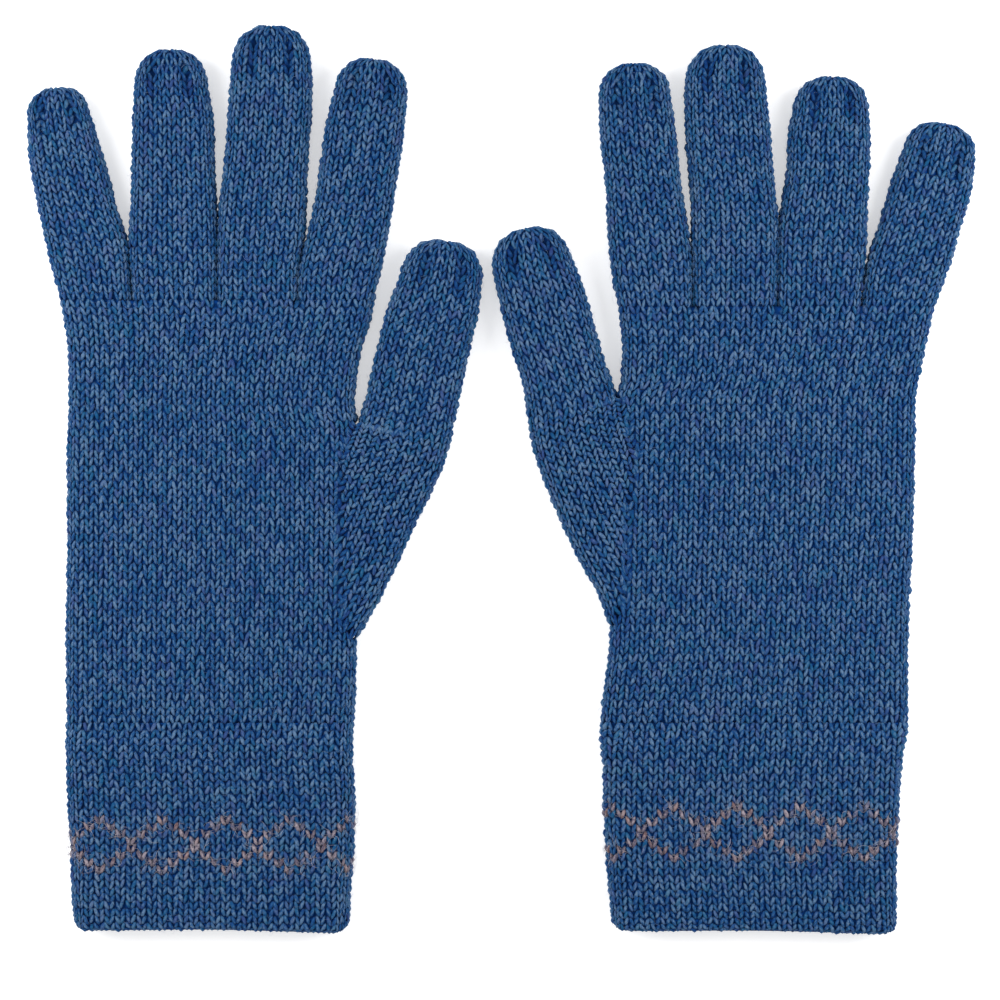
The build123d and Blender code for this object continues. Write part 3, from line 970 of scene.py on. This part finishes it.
def dyes():
    """The materials of the pair, made once and found by name afterwards."""
    if DYES[0] not in bpy.data.materials:
        g = settings()
        deep, main, pale = tuple(g.deep_blue), tuple(g.main_blue), tuple(g.pale_blue)
        violet, teal = tuple(g.violet), tuple(g.teal)
        yarn_material(DYES[WOOL], deep, main, pale, violet, teal, 0.10)
        web_material(DYES[WEB], WEB_BLUE)
        fibre_material(DYES[FIBRES], main, tuple(c * 1.5 for c in pale))
        yarn_material(DYES[TAUPE], tuple(g.deep_taupe), tuple(g.main_taupe),
                      tuple(g.pale_taupe), RUST, DEEP_BLUE, 0.3, 0.3, patchy=0.9)
        fibre_material(DYES[TAUPE_FIBRES], tuple(g.main_taupe), PALE_FIBRE)
        yarn_material(DYES[ENDS], deep, tuple(c * 0.75 for c in main), main, violet, teal, 0.2)
    return [bpy.data.materials[name] for name in DYES]


def each_glove(seed):
    """Each glove's name and plan, with a random generator of its own."""
    for number, (name, glove) in enumerate(GLOVES.items()):
        yield name, glove, np.random.default_rng(seed + number)


def knit(bundle, fabric, first, last, rng, face=None, keep=None, **how):
    """Stitches and loose fibres over rows first to last, on the front, the back or both."""
    g = settings()

    def wanted(s, j, index):
        chosen = np.ones(len(s), bool) if face is None else (s >= 0) == (face == "front")
        return chosen if keep is None else chosen & keep(s, j, index)

    places = stitch_places(fabric, first, last, keep=wanted, **how)
    add_stitches(bundle, fabric, places, rng, WOOL, g.yarn_girth)
    add_fibres(bundle, fabric, places, g.fibre_share, g.fibre_length / MM, rng, FIBRES)


def finished(piece, slot, *nodes):
    """Marks the piece's finish and the plain shapes that it stands for."""
    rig.slot(piece, slot)
    if nodes:
        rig.replaces(piece, *nodes)


def between(glove, x, y):
    """A point of the glove's plan in the frame, in metres."""
    return (glove["mirror"] * x * MM, y * MM, HAND_HALF * MM)


def hand_fabric(glove):
    """The hand from the wrist to the finger crotches, closed along a line on the thumb's
    side, with the line and the rows between which the thumb's side piece opens it."""
    side = flowing(glove["outer_side"], 400)
    line = flowing(glove["gusset_line"], 200)
    low, high = flowing(glove["thumb_side_low"], 200), flowing(glove["thumb_side_high"], 100)
    across = np.vstack([low[low[:, 1] >= glove["wrist"]], high])
    y = np.linspace(glove["wrist"], glove["crotch"], 240)
    left = np.stack([np.interp(y, side[:, 1], side[:, 0]), y], 1)
    right = np.stack([np.interp(y, across[:, 1], across[:, 0]), y], 1)
    rows = round((y[-1] - y[0]) / (settings().hand_row / MM))
    dips = [(x, cy, 0.0, FOLD * HAND_HALF) for x, cy in glove["slits"]]
    fabric = Fabric(left, right, HAND_HALF, rows, dips=dips, crease=(line, *CREASE))
    opened = (line[[0, -1], 1] - y[0]) / (y[-1] - y[0]) * rows
    return fabric, line, (int(round(opened[0])), int(round(opened[1])))


def gusset_fabric(glove):
    """The thumb's side piece: rows run from the gusset line to the outer fold, and those in
    the middle climb towards the palm because the stitches lean with the fold."""
    edge = flowing(glove["gusset_edge"], 120)
    line = flowing(glove["gusset_line"], 480)
    length = np.hypot(*np.diff(edge, axis=0).T).sum()
    f = np.linspace(0, 1, 120)
    lead = np.clip(f + 0.13 * np.sin(math.pi * f), 0, 1)
    left = np.stack([np.interp(lead, np.linspace(0, 1, 480), c) for c in line.T], 1)
    dip = (line[-1, 0] - 0.4, line[-1, 1] + 0.6, 0.0, FOLD * HAND_HALF)
    return Fabric(left, edge, HAND_HALF, round(length / (settings().hand_row / MM)),
                  fold="right", dips=[dip], crease=(line, *CREASE))


class GLOVES_OT_hand(bpy.types.Operator):
    """Knits the front and the back of both hands, up to the finger crotches"""
    bl_idname = "gloves.hand"
    bl_label = "Knit hands"

    def execute(self, context):
        for name, glove, rng in each_glove(11):
            fabric, line, (foot, top) = hand_fabric(glove)
            span = fabric.along(fabric.left, np.array([0.0, float(fabric.rows)]))[:, 1]

            def farthest(j):
                """Share of the reach at which the gusset line crosses row j."""
                y = span[0] + (span[1] - span[0]) * j / fabric.rows
                x = np.interp(y, line[:, 1], line[:, 0]) - fabric.along(fabric.left, j)[:, 0]
                bend = fabric.along(fabric.half, j)
                return (x + (QUARTER - FOLD) * bend) / fabric.arc(j)

            def reached(j):
                """The same share where the side is open and the whole of it elsewhere."""
                opened = (j >= foot) & (j < top - 1)
                return np.where(opened, np.minimum(farthest(j) + WEB_MARGIN, 1.0), 1.0)

            def outside(s, j, index):
                opened = (j >= foot) & (j < top)
                return ~opened | (np.abs(s) / fabric.arc(j) < farthest(j + 0.5) + STITCH_MARGIN)

            for face, share in (("front", (0.0, 1.0)), ("back", (-1.0, 0.0))):
                bundle = Bundle()
                knit(bundle, fabric, 0, fabric.rows, rng, face, outside, number=HAND_STITCHES)
                add_web(bundle, fabric, 0, fabric.rows, share, WEB, limit=reached)
                piece = bundle.object(f"{name}_hand_{face}", glove)
                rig.ride(piece, name + "_palm")
                finished(piece, "blue_knit", *([name + "_hand"] if face == "front" else []))
        return {"FINISHED"}


class GLOVES_OT_thumb(bpy.types.Operator):
    """Knits the side gussets and the thumbs"""
    bl_idname = "gloves.thumb"
    bl_label = "Knit thumbs"

    def execute(self, context):
        for name, glove, rng in each_glove(31):
            bundle = Bundle()
            fabric = gusset_fabric(glove)
            knit(bundle, fabric, 0, fabric.rows, rng, pitch=settings().stitch_width / MM)
            add_web(bundle, fabric, 0, fabric.rows, (-1, 1), WEB, depth=GUSSET_BACKING)
            piece = bundle.object(name + "_thumb_side", glove)
            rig.ride(piece, name + "_palm")
            finished(piece, "blue_knit", name + "_thumb_gusset")
            knit_finger(name, glove, "thumb", glove["thumb"]["root"], rng)
        return {"FINISHED"}


def tip_counts(fabric, number, pitch):
    """Stitches round each row: the full number, and near the tip as many as fit."""
    fits = fabric.arc(np.arange(fabric.rows) + 0.5) / pitch
    return np.minimum(number, 2 * np.maximum(3, np.round(fits))).astype(int)


def knit_finger(name, glove, finger, root, rng):
    """One finger in two pieces that meet at its bend, with the bends left soft."""
    plan = glove[finger]
    fabric = finger_fabric(plan)
    pitch = settings().stitch_width / MM
    number = 2 * round(float(fabric.arc(np.array([fabric.rows * 0.35]))[0]) / pitch)
    counts = tip_counts(fabric, number, pitch * 0.85)
    centre = (fabric.left + fabric.right) / 2
    split = int(round(float(np.interp(plan["bend"], centre[:, 1], fabric.j))))
    near, far = f"{name}_{finger}_near", f"{name}_{finger}_far"
    for part, first, last in (("base", 0, split), ("tip", split, fabric.rows)):
        bundle = Bundle()
        knit(bundle, fabric, first, last, rng, counts=counts)
        add_web(bundle, fabric, first, last, (-1, 1), WEB)
        piece = bundle.object(f"{name}_{finger}_{part}_knit", glove)
        if part == "base":
            x, y = plan["left"][0][0], root
            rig.blend(piece, name + "_palm", near,
                     between(glove, x, y), between(glove, x, y + ROOT_BEND))
        else:
            edges = [float(fabric.along(edge, np.array([split]))[0, 1])
                     for edge in (fabric.left, fabric.right)]
            x, y = float(centre[0, 0]), max(plan["bend"], *edges)
            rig.blend(piece, near, far, between(glove, x, y), between(glove, x, y + MIDDLE_BEND))
        finished(piece, "blue_knit", f"{name}_{finger}_{part}")


class GLOVES_OT_fingers(bpy.types.Operator):
    """Knits the four fingers of each glove"""
    bl_idname = "gloves.fingers"
    bl_label = "Knit fingers"

    def execute(self, context):
        for name, glove, rng in each_glove(51):
            for finger in FINGERS:
                knit_finger(name, glove, finger, glove["crotch"], rng)
        return {"FINISHED"}


def cuff_fabric(glove, inset=0.0):
    """The cuff from its turned lower edge to the wrist, or a layer inside it. The stations
    start on the underside of the turn, go round it as half a quarter and a quarter of a
    circle, up the face at full thickness and in at the wrist."""
    side, thumb = flowing(glove["outer_side"], 400), flowing(glove["thumb_side_low"], 200)
    bottom, wrist = side[0, 1], glove["wrist"]
    turn = np.linspace(-PAST_TURN, math.pi / 2, 24)[:-1]
    y = np.concatenate([bottom + TURN * (1 - np.cos(turn)),
                        np.linspace(bottom + TURN, wrist, 120)])
    drawn = np.concatenate([1 - np.sin(turn), np.zeros(120)])
    edges = [np.stack([np.interp(y, line[:, 1], line[:, 0]) + way * inset
                       + way * TURN_INSET * drawn, y], 1)
             for line, way in ((side, 1), (thumb, -1))]
    pinch = ease((y - wrist + 7.0) / 7.0)
    thick = CUFF_HALF - inset - TURN * drawn - (CUFF_HALF - HAND_HALF - 0.15) * pinch
    middle = CUFF_HALF - (CUFF_HALF - HAND_HALF) * pinch
    step = np.hypot(np.diff(y), TURN * np.diff(drawn))
    t = np.concatenate([[0], np.cumsum(step)])
    left, right, thick, middle = evened(t, 160, *edges, thick, middle)
    rows = round(t[-1] / (settings().cuff_row / MM))
    made = Fabric(left, right, thick, rows, face_pitch=CUFF_PITCH)
    made.mid = middle
    made.corner, made.tilt = CORNER, glove["thumb_side_low"][0][1] - bottom
    return made


REPEAT = 6


def in_pattern(glove, j, index):
    """True for the stitches of the contrast rows: two zigzags six stitches wide that step
    one row for each stitch, the upper one over the middle row and the lower one under it."""
    away = np.abs((index // 2 - glove["peak"] + REPEAT // 2) % REPEAT - REPEAT // 2)
    above = j - glove["middle_row"]
    return (above == REPEAT // 2 - away) | (above == away - REPEAT // 2 - 1)


class GLOVES_OT_cuff(bpy.types.Operator):
    """Knits the cuffs: outer layer, turned-in hem and the contrast diamonds"""
    bl_idname = "gloves.cuff"
    bl_label = "Knit cuffs"

    def execute(self, context):
        g = settings()
        for name, glove, rng in each_glove(71):
            fabric = cuff_fabric(glove)
            palm, cuff = name + "_palm", name + "_cuff"
            x, y = glove["outer_side"][0][0], glove["wrist"]
            bend = (between(glove, x, y), between(glove, x, y - WRIST_BEND))

            bundle = Bundle()
            knit(bundle, fabric, 0, fabric.rows, rng, number=CUFF_STITCHES,
                 keep=lambda s, j, index: ~in_pattern(glove, j, index))
            add_web(bundle, fabric, 0, fabric.rows, (-1, 1), WEB)
            outer = bundle.object(name + "_cuff_knit", glove)
            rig.blend(outer, palm, cuff, *bend)
            finished(outer, "blue_knit", name + "_cuff_outer")

            bundle = Bundle()
            places = stitch_places(fabric, 0, fabric.rows, number=CUFF_STITCHES,
                                   keep=lambda s, j, index: in_pattern(glove, j, index))
            add_stitches(bundle, fabric, places, rng, TAUPE, g.yarn_girth * 1.18)
            add_fibres(bundle, fabric, places, 9.0, g.fibre_length / MM * 1.3, rng,
                       TAUPE_FIBRES, girth=0.035)
            motif = bundle.object(name + "_diamonds", glove)
            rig.ride(motif, cuff)
            finished(motif, "contrast_yarn", name + "_cuff_motif")

            bundle = Bundle()
            hem = cuff_fabric(glove, HEM_INSET)
            hem.half = np.maximum(hem.half, 1.9)
            last = fabric.rows - 1
            places = stitch_places(hem, 1, last, number=CUFF_STITCHES)
            add_stitches(bundle, hem, places, rng, WOOL, g.yarn_girth * 0.85, inward=True)
            add_web(bundle, hem, 1, last, (-1, 1), WEB, depth=HEM_BACKING)
            inner = bundle.object(name + "_hem_knit", glove)
            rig.blend(inner, palm, cuff, *bend)
            finished(inner, "blue_knit_inside", name + "_cuff_hem")
        return {"FINISHED"}


def yarn_ends(label, glove, body, node_name, rng, starts, ends, bulge, girth):
    """A piece made of short lengths of yarn, riding on one body."""
    bundle = Bundle()
    add_yarn_ends(bundle, starts, ends, bulge, girth, rng, ENDS)
    piece = bundle.object(label, glove)
    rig.ride(piece, body)
    finished(piece, "tacking_yarn", node_name)


class GLOVES_OT_yarn_ends(bpy.types.Operator):
    """Adds the closing yarn at the fingertips and crotches and the tacking of the hem"""
    bl_idname = "gloves.yarn_ends"
    bl_label = "Add yarn ends"

    def execute(self, context):
        for name, glove, rng in each_glove(91):
            for finger in (*FINGERS, "thumb"):
                self.gather(name, glove, finger, rng)
            for k, (x, y) in enumerate(glove["slits"]):
                self.join(name, glove, f"join_{FINGERS[k]}_{FINGERS[k + 1]}", x, y, rng)
            self.tack(name, glove, rng)
        return {"FINISHED"}

    def gather(self, name, glove, finger, rng):
        """Five short lengths of yarn drawn together at the end of a finger."""
        fabric = finger_fabric(glove[finger])
        end = (fabric.left[-1] + fabric.right[-1]) / 2
        tail = (fabric.left[-30] + fabric.right[-30]) / 2
        ahead = (end - tail) / np.hypot(*(end - tail))
        across = np.array([ahead[1], -ahead[0]])
        turn = np.linspace(0, 2 * math.pi, 6)[:-1] + 0.3
        x = np.cos(turn)[:, None] * across * 1.5
        spread = np.column_stack([x - ahead * 0.9, HAND_HALF + np.sin(turn) * 1.1])
        end = end - ahead * 1.6
        starts = spread + [*end, 0]
        ends = np.column_stack([np.tile(end - ahead * 0.35, (5, 1)), np.full(5, HAND_HALF)])
        ends = ends + 0.25 * (ends - starts)
        bulge = np.tile([*ahead * 0.45, 0.0], (5, 1))
        yarn_ends(f"{name}_{finger}_closing", glove, f"{name}_{finger}_far",
                  f"{name}_{finger}_gather", rng, starts, ends, bulge, 0.55)

    def join(self, name, glove, label, x, y, rng):
        """Four slanted stitches that close a finger crotch, two to each face."""
        z = HAND_HALF + np.array([2.3, 1.0, -1.0, -2.3])
        lean = np.array([0.9, -0.8, 0.8, -0.9])
        starts = np.column_stack([x - 1.9 + 0 * z, y - 2.6 - lean, z])
        ends = np.column_stack([x + 1.9 + 0 * z, y - 2.6 + lean, z])
        bulge = np.column_stack([0 * z, 0 * z - 0.3, np.sign(z - HAND_HALF) * 0.5])
        yarn_ends(f"{name}_{label}_yarn", glove, name + "_palm", f"{name}_{label}", rng,
                  starts, ends, bulge, 0.6)

    def tack(self, name, glove, rng):
        """Slanted tacking stitches inside, along the upper edge of the hem."""
        hem = cuff_fabric(glove, TACK_INSET)
        row = np.array([hem.rows - 1.2])
        reach = float(hem.arc(row)[0])
        s = np.linspace(-reach, reach, CUFF_STITCHES + 1)[:-1] + 0.4
        j = np.full(CUFF_STITCHES, row[0])
        starts, ends = hem.point(s, j), hem.point(s + 1.6, j + 0.8)
        yarn_ends(name + "_tacking", glove, name + "_cuff", name + "_hem_stitching", rng,
                  starts, ends, -hem.outward(s, j) * 0.35, 0.4)


VIEW_WIDTH = 0.2818    # width of the view at the gloves' height, m


class GLOVES_OT_stage(bpy.types.Operator):
    """Lays down a pale floor and sets soft lights and a camera that looks straight down"""
    bl_idname = "gloves.stage"
    bl_label = "Set stage"

    def execute(self, context):
        scene = context.scene
        scene.view_settings.view_transform = "Standard"
        self.floor(scene)
        self.lights(scene)
        data = bpy.data.cameras.new("Overhead")
        data.lens, data.sensor_width = 100.0, 36.0
        camera = bpy.data.objects.new("Overhead", data)
        away = VIEW_WIDTH * data.lens / data.sensor_width
        camera.location = (-0.0003, -0.0058, HAND_HALF * MM + away)
        scene.collection.objects.link(camera)
        scene.camera = camera
        return {"FINISHED"}

    def floor(self, scene):
        """A flat square just under the gloves, with the faintest unevenness in its paint."""
        mesh = bpy.data.meshes.new("Floor")
        half, low = 3.0, -0.0004
        corners = [(-half, -half, low), (half, -half, low), (half, half, low), (-half, half, low)]
        mesh.from_pydata(corners, [], [(0, 1, 2, 3)])
        material, tree, shader = new_material(
            "Pale floor", Roughness=0.9, Specular_IOR_Level=0.0,
            Emission_Color=(1, 1, 1, 1), Emission_Strength=0.42)
        uneven = noise(tree, node(tree, "TexCoord", output="Object"), 30.0)
        tone = ramp(tree, uneven, [(0.2, (0.84, 0.84, 0.84)), (0.8, (0.87, 0.87, 0.87))])
        tree.links.new(tone, shader.inputs["Base Color"])
        mesh.materials.append(material)
        floor = bpy.data.objects.new("Floor", mesh)
        scene.collection.objects.link(floor)
        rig.stage(floor)

    def lights(self, scene):
        """A soft even sky and a softbox at each side, low enough to shade the far folds."""
        world = bpy.data.worlds.new("Studio")
        scene.world = world
        world.use_nodes = True
        sky = world.node_tree.nodes["Background"]
        sky.inputs["Color"].default_value = (1, 1, 1, 1)
        sky.inputs["Strength"].default_value = 0.75
        for name, side in (("Left softbox", -1), ("Right softbox", 1)):
            data = bpy.data.lights.new(name, "AREA")
            data.shape, data.size, data.energy = "DISK", 0.30, 1.4
            lamp = bpy.data.objects.new(name, data)
            lamp.location = (side * 0.36, 0.10, 0.30)
            aim = Vector((side * 0.07, 0.0, 0.0)) - lamp.location
            lamp.rotation_euler = aim.to_track_quat("-Z", "Y").to_euler()
            scene.collection.objects.link(lamp)


class GLOVES_PT_panel(bpy.types.Panel):
    """Lists the settings and the steps of the pair"""
    bl_label = "Knitted Gloves"
    bl_idname = "GLOVES_PT_panel"
    bl_space_type = "VIEW_3D"
    bl_region_type = "UI"
    bl_category = "Gloves"

    def draw(self, context):
        column = self.layout.column()
        for name in GloveSettings.__annotations__:
            column.prop(context.scene.knitted_gloves, name)
        for step in STEPS:
            column.operator(step.bl_idname)


STEPS = (GLOVES_OT_hand, GLOVES_OT_thumb, GLOVES_OT_fingers, GLOVES_OT_cuff,
         GLOVES_OT_yarn_ends, GLOVES_OT_stage)
CLASSES = (GloveSettings, *STEPS, GLOVES_PT_panel)


def register():
    for item in CLASSES:
        bpy.utils.register_class(item)
    bpy.types.Scene.knitted_gloves = bpy.props.PointerProperty(type=GloveSettings)


def unregister():
    del bpy.types.Scene.knitted_gloves
    for item in reversed(CLASSES):
        bpy.utils.unregister_class(item)


def main():
    """Registers the add-on, runs every step and notes the sizes before and after."""
    cad_box = [list(corner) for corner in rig.bounds()]
    register()
    bpy.ops.gloves.hand()
    bpy.ops.gloves.thumb()
    bpy.ops.gloves.fingers()
    bpy.ops.gloves.cuff()
    bpy.ops.gloves.yarn_ends()
    bpy.ops.gloves.stage()
    visual_box = [list(corner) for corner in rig.bounds()]
    with open("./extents.json", "w") as f:
        json.dump({"cad": cad_box, "visual": visual_box}, f)


if __name__ == "__main__":
    main()
